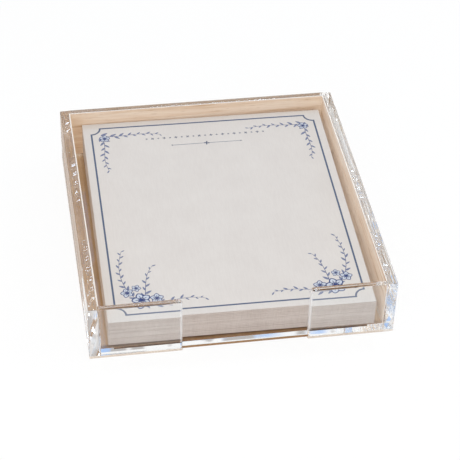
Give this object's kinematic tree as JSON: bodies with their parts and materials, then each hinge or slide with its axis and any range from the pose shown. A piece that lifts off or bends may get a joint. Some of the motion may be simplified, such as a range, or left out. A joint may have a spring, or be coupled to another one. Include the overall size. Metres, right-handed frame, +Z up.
{
  "type": "notepad holder",
  "caption": "Low clear-walled desk tray on a wood base with a wood liner, open at the top and notched at the front for a thumb, holding a pile of loose note sheets that lift out.",
  "frame": {"origin": "on the table, under the middle of the tray's footprint", "axes": "+X to the right seen from the front, +Y from the thumb notch towards the back wall, +Z up"},
  "size_m": [0.16, 0.172, 0.0335],
  "materials": {
    "clear_acrylic": "polished clear sheet",
    "wood_veneer": "light oiled veneer",
    "note_paper": "uncoated writing paper"
  },
  "bodies": {
    "tray": {"base_board": "wood_veneer", "floor_plate": "clear_acrylic", "left_wall": "clear_acrylic", "right_wall": "clear_acrylic", "back_wall": "clear_acrylic", "left_lip": "clear_acrylic", "right_lip": "clear_acrylic", "left_liner": "wood_veneer", "right_liner": "wood_veneer", "back_liner": "wood_veneer"},
    "pad": {"sheet_pile": "note_paper", "leaf_08": "note_paper", "leaf_07": "note_paper", "leaf_06": "note_paper", "leaf_05": "note_paper", "leaf_04": "note_paper", "leaf_03": "note_paper", "leaf_02": "note_paper"},
    "loose_leaf": {"top_leaf": "note_paper"}
  },
  "joints": [
    {"name": "pad_lift", "type": "slide", "parent": "tray", "child": "pad", "axis": [0, 0, 1], "range_m": [0, 0.045]},
    {"name": "leaf_lift", "type": "slide", "parent": "pad", "child": "loose_leaf", "axis": [0, 0, 1], "range_m": [0, 0.03]}
  ]
}
